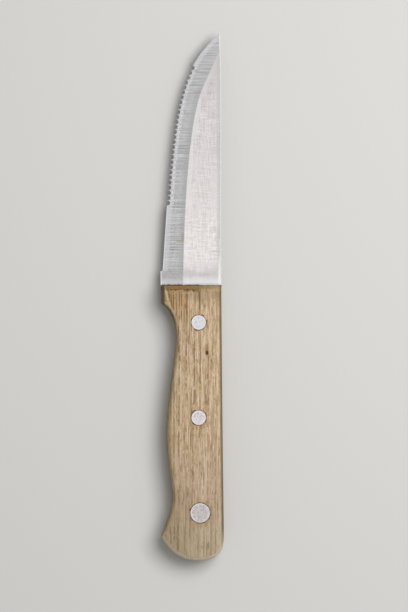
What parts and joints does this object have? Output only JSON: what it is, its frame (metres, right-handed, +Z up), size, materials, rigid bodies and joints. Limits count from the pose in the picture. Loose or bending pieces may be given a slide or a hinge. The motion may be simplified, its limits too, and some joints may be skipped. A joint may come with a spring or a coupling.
{
  "type": "steak knife",
  "caption": "Serrated steak knife with a fixed pointed blade, a full tang and riveted wooden handle scales, lying flat on its side.",
  "frame": {"origin": "under the middle of the knife's length and width, on the face that it rests on", "axes": "+Y toward the tip along the blade, +X toward the spine, +Z up out of the upper scale"},
  "size_m": [0.0256, 0.2126, 0.013],
  "materials": {
    "blade_steel": "ground and brushed stainless steel",
    "scale_wood": "oiled, fine sanded, straight grained",
    "rivet_aluminium": "sanded flush"
  },
  "bodies": {
    "root": {"blade": "blade_steel", "upper_scale": "scale_wood", "lower_scale": "scale_wood", "front_rivet_tube": "rivet_aluminium", "front_rivet_pin": "rivet_aluminium", "middle_rivet_tube": "rivet_aluminium", "middle_rivet_pin": "rivet_aluminium", "butt_rivet_tube": "rivet_aluminium", "butt_rivet_pin": "rivet_aluminium"}
  },
  "joints": []
}
